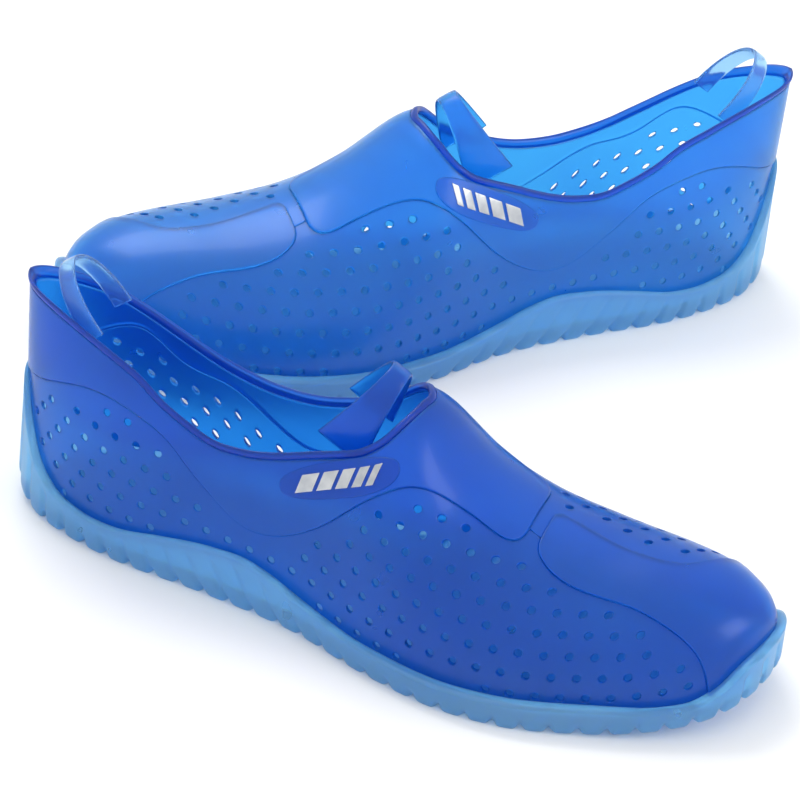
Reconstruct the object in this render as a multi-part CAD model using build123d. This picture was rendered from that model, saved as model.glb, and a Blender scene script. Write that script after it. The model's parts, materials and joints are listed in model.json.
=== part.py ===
from build123d import *

import os
from math import cos, pi, sin

import numpy as np

# A pair of moulded slip-on water shoes, standing flat on their soles, in millimetres.
# Each piece is drawn as a piece of the right shoe in that shoe's own frame: x from heel to
# toe, y towards the instep (medial) side, z up from the ground. The left shoe is its mirror
# image. The row's origin is on the ground, under the middle of the pair's box.

# ---- driving dimensions -------------------------------------------------------------
LENGTH = 280.0            # sole, heel to toe
RAND = 3.0                # how far the sole cup stands outside the upper's side
SOLE_THICKNESS = 6.0      # under the foot
TOE_SPRING = 9.0          # how far the upper's floor rises at the toe
SPRING_START = 205.0      # where the sole starts to lift
HEEL_LEAN = 0.05          # how far the back leans out, per unit of height
LEAN_REACH = 80.0         # the lean has faded out this far from the heel
PANEL_STEP = 0.8          # smooth zones stand this far above the perforated ones
WALL = 2.6                # wall under a smooth zone
HALF_GIRTH = 42.0         # an inset of this size would shrink the upper to its crown line
RIM_PROUD = 0.7           # how far the rim stands out of the wall
BADGE_PLATE = 0.7         # height of the oval badge above the saddle
BADGE_MARK = 0.3          # height of the bright bars on the badge
SEAM_GAP = 0.15           # between the upper and what is wrapped round it or laid on it
SEAM_TURN = 1.0           # the same between two zones, as degrees of turn
RIM_GAP = 1.6             # the same between the saddle and the rim
SEAM_AHEAD = 0.8          # and along the shoe, where a zone's edge runs down steeply
STATIONS = 66             # sections in a loft over the whole length

# Side of the sole seen from above, (x, y).
LATERAL_EDGE = [(0, 0), (8, -15), (24, -24.5), (50, -31.5), (85, -34), (120, -39), (150, -49),
                (180, -55), (200, -54), (230, -45), (255, -34), (272, -20), (LENGTH, 8)]
MEDIAL_EDGE = [(0, 0), (8, 15), (24, 24.5), (50, 30), (85, 28), (120, 28), (150, 36),
               (180, 44), (205, 47), (235, 44), (260, 36), (274, 24), (LENGTH, 8)]
# Crown of the upper: its line seen from above, its height, and how square its section is.
CROWN = [(0, 0), (60, -1), (95, -1), (120, 1), (150, 3), (200, 4), (250, 7), (LENGTH, 8)]
HEIGHT = [(0, 106), (25, 103), (60, 91), (95, 80), (125, 83), (148, 83), (170, 65),
          (190, 54.5), (215, 49), (240, 47), (258, 45), (270, 41), (LENGTH, 31)]
SQUARENESS = [(0, 2.8), (60, 2.5), (120, 2.2), (200, 2.1), (LENGTH, 2.4)]
# Underside of the sole along its length, (x, z).
TREAD_LINE = [(0, 7), (5, 2.5), (14, 0), (110, 0), (SPRING_START, 0), (240, 2), (262, 6), (LENGTH, 12)]

# Edges of the upper's zones: (x, turn), where turn is an angle round the arch in degrees,
# from 0 at the lateral side's foot over 90 at the crown to 180 at the medial side's foot.
COLLAR_LATERAL = [(0, 48.5), (12, 48), (24, 47.5), (38, 47), (50, 46), (60, 43), (70, 41.5), (80, 41),
                  (90, 43), (100, 45.5), (114, 49.5), (126, 53.5), (134, 57.5), (140, 65), (144.5, 78),
                  (147, 90), (150, 90)]
COLLAR_MEDIAL = [(0, 131.5), (8, 134), (22, 137), (33, 139.5), (46, 142.5), (60, 144.5), (77, 143),
                 (93, 140), (109, 136.5), (121, 132.5), (134, 122), (140, 112), (144.5, 101),
                 (147, 90), (150, 90)]
SADDLE_LATERAL = [(0, 25.5), (8, 27), (20, 31), (35, 35), (49, 35.5), (62, 34), (73, 28.5), (82, 25),
                  (91, 21), (101, 19.5), (112, 22), (125, 29), (137, 39.5), (147, 48), (156, 57),
                  (163, 61), (172, 65), (180, 65.5), (187, 65), (194, 76)]
SADDLE_MEDIAL = [(0, 154.5), (8, 153), (20, 149), (35, 145.5), (42, 150), (54, 152), (62, 151), (73, 152),
                 (82, 155), (91, 159), (101, 160.5), (112, 158), (125, 151), (137, 140.5), (147, 132),
                 (156, 123), (163, 119), (172, 115), (180, 114), (187, 110), (194, 98)]
GUARD_LATERAL = [(194, 76), (197, 70), (202, 64), (212, 59), (224, 57), (236, 55), (248, 49), (258, 40),
                 (264, 29), (267, 15), (268.5, 0), (LENGTH, 0)]
GUARD_MEDIAL = [(194, 98), (199, 91), (212, 89), (224, 85), (236, 84), (246, 87), (252, 97), (258, 117),
                (263, 143), (267, 168), (270, 180), (LENGTH, 180)]
GUARD_SPLIT = [(194, 80), (240, 80), (262, 90), (LENGTH, 90)]  # the guard is two strips, met here
SADDLE_FRONT = 194.0      # the saddle's tongue ends and the toe guard's begins
THROAT = 147.5            # front of the opening
RIM_SETBACK = (2.5, 2.8)  # the saddle's upper edge is the collar line, moved forward and down the wall
VENT_FRONT, MEDIAL_VENT_FRONT = 267.5, 269.0  # the perforated zones narrow to nothing here

# Top edge of the sole cup seen from the side, (x, z).
CUP_LINE = [(-12, 52), (1, 48), (5, 36), (10, 24), (18, 16), (30, 12.5), (45, 12.5), (65, 16.5),
            (85, 19.5), (97, 20), (108, 17.5), (120, 13.5), (140, 10), (165, 9), (200, 9.5), (235, 11),
            (254, 12), (263, 14), (270, 19), (275, 25), (280, 28), (292, 29)]

BADGE_CENTRE = (127.5, 60.5)  # seen from the side
BADGE_TILT = 25.0
BADGE_SIZE = (49.0, 11.6)
BADGE_BARS = ((-15.5, 7.0), (-7.0, 6.0), (0.5, 5.0), (7.0, 4.0), (12.5, 3.0))  # place and width of each bar
BADGE_BAR_HEIGHT = 5.5
BADGE_BAR_SLANT = 2.0

TREAD_PITCH = 10.0        # one lug and one groove
TREAD_GROOVE = (3.0, 1.8)  # width and depth of a groove
TREAD_SPAN = (18, 262)    # grooves lie between these

# Pull loops: bands of the upper's own material, hinged where their feet join the collar.
HEEL_LOOP = {"foot": (28, 0, 78), "half_span": 12.8, "rise": 24, "leg": 2, "thickness": 1.8,
             "foot_width": 8, "top_width": 7, "lean": -40}
INSTEP_LOOP = {"foot": (124, -1.5, 67), "half_span": 15.0, "rise": 29, "leg": 2, "thickness": 1.8,
               "foot_width": 15, "top_width": 8, "lean": 27}

# Where each shoe's heel stands on the ground, and which way it points.
STANCE = {"right": ((-134.0, -43.3), -18.1), "left": ((128.1, 144.6), 202.7)}


# ---- curves and surfaces ------------------------------------------------------------
def through(stations, x):
    """Smooth curve through the stations; each slope is the weighted mean of its neighbours'."""
    xs, ys = np.array(stations, float).T
    step = np.diff(xs)
    slope = np.diff(ys) / step
    inner = (slope[:-1] * step[1:] + slope[1:] * step[:-1]) / (step[:-1] + step[1:])
    slopes = np.concatenate([slope[:1], inner, slope[-1:]])
    i = np.clip(np.searchsorted(xs, x, side="right") - 1, 0, len(step) - 1)
    u = (x - xs[i]) / step[i]
    return ((1 + 2 * u) * (1 - u) ** 2 * ys[i] + u * (1 - u) ** 2 * step[i] * slopes[i]
            + u * u * (3 - 2 * u) * ys[i + 1] - u * u * (1 - u) * step[i] * slopes[i + 1])


def along(stations, t):
    """The same curve, taken at t of 0 to 1, which goes as a half turn from heel to toe.

    A width that falls evenly with t near an end closes that end as a round nose."""
    turned = [(np.arccos(1 - 2 * x / LENGTH) / pi, value) for x, value in stations]
    return through(turned, t)


def upper_point(t, turn, inset):
    """A point of the upper, an arch over each section, moved inwards by inset."""
    lateral, medial, crown, height, power = (
        along(line, t) for line in (LATERAL_EDGE, MEDIAL_EDGE, CROWN, HEIGHT, SQUARENESS))
    x = RAND + (LENGTH - 2 * RAND) * (1 - cos(pi * t)) / 2
    lift = np.clip((x - SPRING_START) / (LENGTH - SPRING_START), 0, 1)
    floor = SOLE_THICKNESS + TOE_SPRING * lift ** 2
    c, s = np.cos(turn), np.sin(turn)
    reach = (np.abs(c) ** power + np.abs(s) ** power) ** (-1 / power)
    half = np.where(c > 0, crown - lateral, medial - crown) * (1 - (RAND + inset) / HALF_GIRTH)
    y = crown - half * reach * c
    rise = (height - floor - inset) * reach * s
    lean = HEEL_LEAN * rise * np.clip(1 - x / LEAN_REACH, 0, 1) ** 2
    along_sole = cos(pi * t)  # 1 at the heel, -1 at the toe
    ends_only = np.sign(along_sole) * np.clip((abs(along_sole) - 0.6) / 0.4, 0, 1) ** 2
    return np.stack(np.broadcast_arrays(x + inset * ends_only - lean, y, floor + rise), -1)


def station(x):
    """The t of a section of the upper."""
    return float(np.arccos(1 - 2 * x / LENGTH) / pi)


def arch_edge(points):
    """A spline over part of one section; all such splines share their knots, so lofts stay light."""
    return Edge.make_spline([Vector(*p) for p in points], parameters=list(np.linspace(0, 1, len(points))))


def upper_form(inset):
    """The closed shape inside the upper's skin, moved inwards by inset."""
    rings = []
    for t in np.linspace(0.012, 0.988, STATIONS):
        arch = arch_edge(upper_point(t, np.linspace(0, pi, 15), inset))
        rings.append(Wire([arch, Edge.make_line(arch @ 1, arch @ 0)]))
    return Solid.make_loft(rings)


def wall_zone(start, end, low, high, outer, inner):
    """Part of the upper's wall from section start to section end, between two edges.

    low and high give the edges' turn at an x; outer and inner are the insets of its two faces."""
    rings = []
    first, last, near = station(start), station(end), 0.4 / STATIONS
    shared = [t for t in np.linspace(0, 1, STATIONS + 1) if first + 2 * near < t < last - 2 * near]
    # Zones share their sections, so that their edges run alike; one more near each end keeps the ends true.
    for t in [first, first + near, *shared, last - near, last]:
        x = LENGTH * (1 - cos(pi * t)) / 2
        turns = np.radians(np.linspace(low(x), high(x), 9))
        outer_points, inner_points = upper_point(t, turns, outer), upper_point(t, turns[::-1], inner)
        if x > end - 1e-6 and end < LENGTH:  # a zone that ends short of the toe gets a flat, square end
            inner_points[:, 0] = outer_points[0, 0]
        outside, inside = arch_edge(outer_points), arch_edge(inner_points)
        rings.append(Wire([outside, Edge.make_line(outside @ 1, inside @ 0),
                           inside, Edge.make_line(inside @ 1, outside @ 0)]))
    return Solid.make_loft(rings)


def edge_turn(line):
    """An edge of a zone as a function of x."""
    return lambda x: float(through(line, x))


def level(turn):
    """An edge that keeps one turn: a foot of the wall, or the crown."""
    return lambda x: turn


def sole_block():
    """The sole's outline as a tall block: straight sides, rolled lower edge, shaped underside."""
    roll_in, roll_up, top, spare = 1.5, 4.0, 62.0, 0.3
    rings = []
    for t in np.linspace(0.03, 0.97, 26):
        x = LENGTH * (1 - cos(pi * t)) / 2
        left, right = float(along(LATERAL_EDGE, t)), float(along(MEDIAL_EDGE, t))
        low = float(through(TREAD_LINE, x)) - spare
        outline = [(left, top), (left, low + roll_up), (left + roll_in, low),
                   (right - roll_in, low), (right, low + roll_up), (right, top)]
        rings.append(Wire.make_polygon([Vector(x, y, z) for y, z in outline], close=True))
    ground_up = Pos(LENGTH / 2, 0, top / 2) * Box(2 * LENGTH, 2 * LENGTH, top)
    return Solid.make_loft(rings) & ground_up


def side_prism(line, corners, low_y=-90, high_y=90):
    """A block across the shoe: a line seen from the side, closed through corners."""
    curve = Edge.make_spline([Vector(x, low_y, z) for x, z in line])
    ends = [curve @ 1, *(Vector(x, low_y, z) for x, z in corners), curve @ 0]
    rest = [Edge.make_line(a, b) for a, b in zip(ends, ends[1:])]
    return extrude(Face(Wire([curve, *rest])), amount=high_y - low_y, dir=(0, 1, 0))


# ---- pieces of the right shoe -------------------------------------------------------
def upper_zones():
    """The upper's wall, split along the edges of its zones."""
    ahead, down = RIM_SETBACK
    foot, far_foot, guard_split = level(0), level(180), edge_turn(GUARD_SPLIT)
    collar_lateral, collar_medial = edge_turn(COLLAR_LATERAL), edge_turn(COLLAR_MEDIAL)
    saddle_lateral, saddle_medial = edge_turn(SADDLE_LATERAL), edge_turn(SADDLE_MEDIAL)
    guard_lateral, guard_medial = edge_turn(GUARD_LATERAL), edge_turn(GUARD_MEDIAL)

    def rim_lateral(x):
        return collar_lateral(max(0, x - ahead)) - down - SEAM_TURN

    def rim_medial(x):
        return collar_medial(max(0, x - ahead)) + down + SEAM_TURN

    def over_rim_lateral(x):
        return rim_lateral(x) + RIM_GAP

    def over_rim_medial(x):
        return rim_medial(x) - RIM_GAP

    def vent_lateral(x):
        return (saddle_lateral(x) if x < SADDLE_FRONT else guard_lateral(x + SEAM_AHEAD)) - SEAM_TURN

    def vent_medial(x):
        return (saddle_medial(x) if x < SADDLE_FRONT else guard_medial(x + SEAM_AHEAD)) + SEAM_TURN

    smooth, perforated, proud = (0, WALL), (PANEL_STEP, WALL), (-RIM_PROUD, WALL)
    return {
        "lateral_vent_panel": [wall_zone(0, VENT_FRONT, foot, vent_lateral, *perforated)],
        "medial_vent_panel": [wall_zone(0, MEDIAL_VENT_FRONT, vent_medial, far_foot, *perforated)],
        "saddle": [wall_zone(0, THROAT, saddle_lateral, rim_lateral, *smooth),
                   wall_zone(0, THROAT, rim_medial, saddle_medial, *smooth),
                   wall_zone(THROAT, SADDLE_FRONT, saddle_lateral, saddle_medial, *smooth)],
        "collar_rim": [wall_zone(0, THROAT, over_rim_lateral, collar_lateral, *proud),
                       wall_zone(0, THROAT, collar_medial, over_rim_medial, *proud)],
        "toe_guard": [wall_zone(SADDLE_FRONT, LENGTH, guard_lateral, guard_split, *smooth),
                      wall_zone(SADDLE_FRONT, LENGTH, guard_split, guard_medial, *smooth)],
    }


def outsole(zones):
    """The cup: a thick tread whose wall wraps the foot of the upper and climbs the heel and toe."""
    above_cup_line = side_prism(CUP_LINE, [(292, 140), (-12, 140)])
    cup = sole_block() - above_cup_line - upper_form(PANEL_STEP - SEAM_GAP) - zones["toe_guard"]
    width, depth = TREAD_GROOVE
    grooves = []
    for x in np.arange(*TREAD_SPAN, TREAD_PITCH):
        low = max(0.0, float(through(TREAD_LINE, x)))
        grooves.append(Pos(x, 0, low) * Box(width, 150, 2 * depth))
    return [cup - grooves]


def pull_loop(size):
    """A flat band bent into an arch over the opening, its feet inside the collar."""
    half, rise, leg, thick = (size[k] for k in ("half_span", "rise", "leg", "thickness"))
    outer = [(half * cos(a), rise * sin(a)) for a in np.linspace(0, pi, 13)]
    inner = [((half - thick) * cos(a), (rise - thick) * sin(a)) for a in np.linspace(pi, 0, 13)]
    over = Edge.make_spline([Vector(0, y, z) for y, z in outer])
    under = Edge.make_spline([Vector(0, y, z) for y, z in inner])
    near_foot = [Vector(0, -half, -leg), Vector(0, thick - half, -leg)]
    far_foot = [Vector(0, half - thick, -leg), Vector(0, half, -leg)]
    near = Wire.make_polygon([over @ 1, *near_foot, under @ 0], close=False)
    far = Wire.make_polygon([under @ 1, *far_foot, over @ 0], close=False)
    wide = size["foot_width"]
    arch = extrude(Face(Wire([over, *near.edges(), under, *far.edges()])), amount=wide, dir=(1, 0, 0))
    low, high, top = wide / 2, size["top_width"] / 2, rise + 1
    taper = Wire.make_polygon([Vector(-low, -30, -leg), Vector(low, -30, -leg), Vector(high, -30, top),
                               Vector(-high, -30, top)], close=True)
    band = (Pos(-wide / 2, 0, 0) * arch) & extrude(Face(taper), amount=60, dir=(0, 1, 0))
    return [Pos(*size["foot"]) * Rot(0, size["lean"], 0) * band]


def badge(rim):
    """The oval badge on the saddle's outer side, and the bright bars printed on it."""
    x, z = BADGE_CENTRE
    across, height = BADGE_SIZE
    side = Pos(x, 0, z) * Rot(0, -BADGE_TILT, 0) * Rot(90, 0, 0)
    over_saddle = (x - across / 1.7, x + across / 1.7, level(15), level(88))
    plate_layer = wall_zone(*over_saddle, -BADGE_PLATE, -SEAM_GAP)
    mark_layer = wall_zone(*over_saddle, -BADGE_PLATE - BADGE_MARK, -BADGE_PLATE - SEAM_GAP / 3)
    plate = plate_layer & extrude(side * SlotOverall(across, height), amount=90)
    slant, tall = BADGE_BAR_SLANT, BADGE_BAR_HEIGHT / 2
    marks = []
    for place, wide in BADGE_BARS:
        bar = make_face(Polyline((place - slant, -tall), (place - slant + wide, -tall),
                                 (place + slant + wide, tall), (place + slant, tall), close=True))
        marks.append(mark_layer & extrude(side * bar, amount=90))
    return [plate - rim], marks


def right_shoe():
    """Every piece of the right shoe, by name."""
    pieces = upper_zones()
    pieces["outsole"] = outsole(pieces)
    pieces["heel_pull_loop"] = pull_loop(HEEL_LOOP)
    pieces["instep_pull_loop"] = pull_loop(INSTEP_LOOP)
    pieces["badge_plate"], pieces["badge_mark"] = badge(pieces["collar_rim"])
    return pieces


def stood(piece, side):
    """The solids of a piece, mirrored for the left shoe and put where that shoe stands."""
    (x, y), turn = STANCE[side]
    solids = [solid for shape in piece for solid in shape.solids()]
    if side == "left":
        solids = [solid.mirror(Plane.XZ) for solid in solids]
    placed = [Pos(x, y, 0) * Rot(0, 0, turn) * solid for solid in solids]
    return placed[0] if len(placed) == 1 else Compound(placed)


os.makedirs("parts", exist_ok=True)
shoe = right_shoe()
for side in STANCE:
    for name, piece in shoe.items():
        export_step(stood(piece, side), f"parts/{side}_{name}.step")
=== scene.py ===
"""A pair of moulded slip-on water shoes in translucent soft plastic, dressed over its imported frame.

Each shoe is drawn once in its own frame, in millimetres: x from heel to toe, y towards the instep
side, z up from the ground. Stance puts those points where the frame's joints say that shoe stands.
The upper is one skin over a last; a chart rolls that skin out flat, zones are cut from the chart
as outlines with round holes, and each zone becomes a closed shell with a rounded edge.
"""
import json
import logging
from dataclasses import dataclass, field
from enum import Enum
from math import cos, pi, radians, sin, tau

import bmesh
import bpy
import numpy as np
from mathutils import Matrix, Vector
from mathutils.geometry import delaunay_2d_cdt


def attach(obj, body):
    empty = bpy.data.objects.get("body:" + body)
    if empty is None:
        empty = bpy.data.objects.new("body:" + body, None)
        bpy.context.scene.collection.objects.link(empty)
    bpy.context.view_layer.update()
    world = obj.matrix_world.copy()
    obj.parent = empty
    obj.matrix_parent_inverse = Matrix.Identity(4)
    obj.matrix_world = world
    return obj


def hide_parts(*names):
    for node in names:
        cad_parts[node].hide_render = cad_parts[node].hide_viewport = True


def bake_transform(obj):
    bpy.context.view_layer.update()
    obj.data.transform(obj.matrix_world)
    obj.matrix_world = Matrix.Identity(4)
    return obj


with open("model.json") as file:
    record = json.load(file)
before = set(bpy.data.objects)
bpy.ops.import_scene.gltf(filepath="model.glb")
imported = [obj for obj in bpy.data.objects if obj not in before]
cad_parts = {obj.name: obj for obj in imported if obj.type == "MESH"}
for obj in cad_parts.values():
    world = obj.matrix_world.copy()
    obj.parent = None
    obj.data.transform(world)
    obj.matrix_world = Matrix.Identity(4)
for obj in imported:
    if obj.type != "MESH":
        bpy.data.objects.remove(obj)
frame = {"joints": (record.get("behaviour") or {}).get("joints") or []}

log = logging.getLogger("water_shoes")

MM = 0.001
Line = tuple[tuple[float, float], ...]


class Side(Enum):
    """Which foot a shoe is for. The value turns the instep side's y over."""

    RIGHT = 1
    LEFT = -1

    @property
    def word(self) -> str:
        """The side as it starts the names of nodes, bodies and joints."""
        return self.name.lower()


# ---- curves ---------------------------------------------------------------------------


def through(stations: Line, x: np.ndarray) -> np.ndarray:
    """Smooth curve through stations.

    Between two stations the value is the cubic whose end slopes are the means of the slopes on
    both sides, each weighted by the length of the other span.

    Args:
        stations: (x, value) pairs, x rising.
        x: where the curve is wanted.

    Returns:
        The curve's value at each x.
    """
    xs, ys = np.array(stations, float).T
    step = np.diff(xs)
    slope = np.diff(ys) / step
    inner = (slope[:-1] * step[1:] + slope[1:] * step[:-1]) / (step[:-1] + step[1:])
    slopes = np.concatenate([slope[:1], inner, slope[-1:]])
    i = np.clip(np.searchsorted(xs, x, side="right") - 1, 0, len(step) - 1)
    u = (x - xs[i]) / step[i]
    return (
        (1 + 2 * u) * (1 - u) ** 2 * ys[i]
        + u * (1 - u) ** 2 * step[i] * slopes[i]
        + u * u * (3 - 2 * u) * ys[i + 1]
        - u * u * (1 - u) * step[i] * slopes[i + 1]
    )


def smooth_step(value: np.ndarray, low: float, high: float) -> np.ndarray:
    """Rises from 0 at low to 1 at high, level at both ends."""
    w = np.clip((value - low) / (high - low), 0, 1)
    return w * w * (3 - 2 * w)


def resampled(path: np.ndarray, step: float, closed: bool = False) -> np.ndarray:
    """Points evenly spaced along a path, its ends kept.

    Args:
        path: (n, 2) or (n, 3) points.
        step: distance wanted between neighbours.
        closed: whether the last point joins the first one.

    Returns:
        The new points; a closed path doesn't repeat its first point.
    """
    if closed:
        path = np.vstack([path, path[:1]])
    run = np.concatenate([[0], np.cumsum(np.linalg.norm(np.diff(path, axis=0), axis=1))])
    count = max(3, round(run[-1] / step)) + 1
    places = np.linspace(0, run[-1], count)
    points = np.stack([np.interp(places, run, axis) for axis in path.T], -1)
    return points[:-1] if closed else points


def softened(path: np.ndarray, reach: float, step: float = 0.8) -> np.ndarray:
    """The path with its corners rounded.

    Each point becomes the mean of the stretch within reach of it. Beyond an end the path is
    continued turned half round about that end, so the ends stay.

    Args:
        path: (n, 2) points.
        reach: how far the mean looks each way.
        step: spacing of the result.

    Returns:
        The rounded path.
    """
    points = resampled(path, step)
    n = max(1, round(reach / step))
    before = 2 * points[0] - points[n:0:-1]
    after = 2 * points[-1] - points[-2 : -n - 2 : -1]
    whole = np.vstack([before, points, after])
    kernel = np.ones(2 * n + 1) / (2 * n + 1)
    return np.stack([np.convolve(axis, kernel, "valid") for axis in whole.T], -1)


def superellipse(count: int, power: float) -> tuple[np.ndarray, np.ndarray]:
    """Points round a squared circle: sign(cos) * |cos|^(2/power), and the same of the sine.

    Args:
        count: how many points.
        power: 2 for a circle, more for a squarer form.

    Returns:
        The two coordinates, each from -1 to 1.
    """
    a = np.linspace(0, tau, count, endpoint=False)
    c, s = np.cos(a), np.sin(a)
    return np.sign(c) * np.abs(c) ** (2 / power), np.sign(s) * np.abs(s) ** (2 / power)


def left_normals(path: np.ndarray, closed: bool) -> np.ndarray:
    """Unit vectors to the left of a path in its plane, from each point's two neighbours.

    Args:
        path: (n, 2) points.
        closed: whether the last point joins the first one.

    Returns:
        One vector for each point.
    """
    if closed:
        along = np.roll(path, -1, 0) - np.roll(path, 1, 0)
    else:
        along = np.gradient(path, axis=0)
    along /= np.maximum(np.linalg.norm(along, axis=1, keepdims=True), 1e-9)
    return np.stack([-along[:, 1], along[:, 0]], -1)


def distance_to(points: np.ndarray, ring: np.ndarray) -> np.ndarray:
    """How far each point is from a closed ring: the least distance to any of its sides.

    Args:
        points: (n, 2) points.
        ring: (m, 2) corners.

    Returns:
        n distances.
    """
    start, side = ring, np.roll(ring, -1, 0) - ring
    from_start = points[:, None] - start[None]
    share = np.clip((from_start * side).sum(2) / np.maximum((side * side).sum(1), 1e-12), 0, 1)
    return np.min(np.linalg.norm(from_start - share[..., None] * side, axis=2), axis=1)


def inside(points: np.ndarray, polygon: np.ndarray) -> np.ndarray:
    """Whether each point lies in a polygon: a ray along x crosses its sides an odd number of times.

    Args:
        points: (n, 2) points.
        polygon: (m, 2) corners.

    Returns:
        n truth values.
    """
    a, b = polygon, np.roll(polygon, -1, 0)
    y = points[:, 1:2]
    spans = (a[:, 1] > y) != (b[:, 1] > y)
    rise = np.where(b[:, 1] == a[:, 1], 1e-12, b[:, 1] - a[:, 1])
    cross = a[:, 0] + (y - a[:, 1]) * (b[:, 0] - a[:, 0]) / rise
    return (spans & (points[:, 0:1] < cross)).sum(1) % 2 == 1


# ---- the last: the form that the upper is drawn over -----------------------------------


@dataclass(frozen=True)
class Last:
    """The shoe's form. Tables are (x, value) in millimetres; edges of zones are (x, turn in degrees)."""

    length: float = 280.0
    rand: float = 3.0
    sole: float = 6.0
    toe_spring: float = 9.0
    spring_start: float = 205.0
    heel_lean: float = 0.05
    lean_reach: float = 80.0
    half_girth: float = 42.0
    lateral_edge: Line = ((0, 0), (8, -15), (24, -24.5), (50, -31.5), (85, -34), (120, -39), (150, -49),
                          (180, -55), (200, -54), (230, -45), (255, -34), (272, -20), (280, 8))
    medial_edge: Line = ((0, 0), (8, 15), (24, 24.5), (50, 30), (85, 28), (120, 28), (150, 36),
                         (180, 44), (205, 47), (235, 44), (260, 36), (274, 24), (280, 8))
    crown: Line = ((0, 0), (60, -1), (95, -1), (120, 1), (150, 3), (200, 4), (250, 7), (280, 8))
    height: Line = ((0, 106), (25, 103), (60, 91), (95, 80), (125, 83), (148, 83), (170, 65), (190, 54.5),
                    (215, 49), (240, 47), (258, 45), (270, 41), (280, 31))
    squareness: Line = ((0, 2.8), (60, 2.5), (120, 2.2), (200, 2.1), (280, 2.4))
    tread: Line = ((0, 7), (5, 2.5), (14, 0), (110, 0), (205, 0), (240, 2), (262, 6), (280, 12))
    cup: Line = ((-12, 52), (1, 48), (5, 36), (10, 24), (18, 16), (30, 12.5), (45, 12.5), (65, 16.5),
                 (85, 19.5), (97, 20), (108, 17.5), (120, 13.5), (140, 10), (165, 9), (200, 9.5),
                 (235, 11), (254, 12), (263, 14), (270, 19), (275, 25), (280, 28), (292, 29))

    def station(self, x: np.ndarray) -> np.ndarray:
        """The t of a section whose nominal place along the shoe is x."""
        return np.arccos(np.clip(1 - 2 * x / self.length, -1, 1)) / pi

    def nominal(self, t: np.ndarray) -> np.ndarray:
        """The nominal x of a section: half the length times one less the cosine of pi t."""
        return self.length * (1 - np.cos(pi * t)) / 2

    def underside(self, x: np.ndarray) -> np.ndarray:
        """Height of the sole's underside, never below the ground."""
        return np.maximum(through(self.tread, x), 0)

    def along(self, table: Line, t: np.ndarray) -> np.ndarray:
        """A table's curve taken at t, so that a width falls evenly to a round nose."""
        turned = tuple((float(self.station(x)), value) for x, value in table)
        return through(turned, t)

    def point(self, t: np.ndarray, turn: np.ndarray, inset: float | np.ndarray) -> np.ndarray:
        """Points of the upper's skin.

        Each section is an arch, a squared half circle stretched to the width and height there,
        and inset shrinks it towards its middle.

        Args:
            t: section, 0 at the heel and 1 at the toe.
            turn: angle round the arch, 0 at the outer side's foot, pi at the instep side's.
            inset: how far inside the smooth zones' surface.

        Returns:
            An array of (x, y, z), one for each t and turn.
        """
        tables = (self.lateral_edge, self.medial_edge, self.crown, self.height, self.squareness)
        lateral, medial, crown, height, power = (self.along(table, t) for table in tables)
        x = self.rand + (self.length - 2 * self.rand) * (1 - np.cos(pi * t)) / 2
        lift = np.clip((x - self.spring_start) / (self.length - self.spring_start), 0, 1)
        floor = self.sole + self.toe_spring * lift**2
        c, s = np.cos(turn), np.sin(turn)
        reach = (np.abs(c) ** power + np.abs(s) ** power) ** (-1 / power)
        half = np.where(c > 0, crown - lateral, medial - crown)
        half = half * (1 - (self.rand + inset) / self.half_girth)
        y = crown - half * reach * c
        rise = (height - floor - inset) * reach * s
        lean = self.heel_lean * rise * np.clip(1 - x / self.lean_reach, 0, 1) ** 2
        toward = np.cos(pi * t)
        ends_only = np.sign(toward) * np.clip((np.abs(toward) - 0.6) / 0.4, 0, 1) ** 2
        return np.stack(np.broadcast_arrays(x + inset * ends_only - lean, y, floor + rise), -1)


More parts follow.
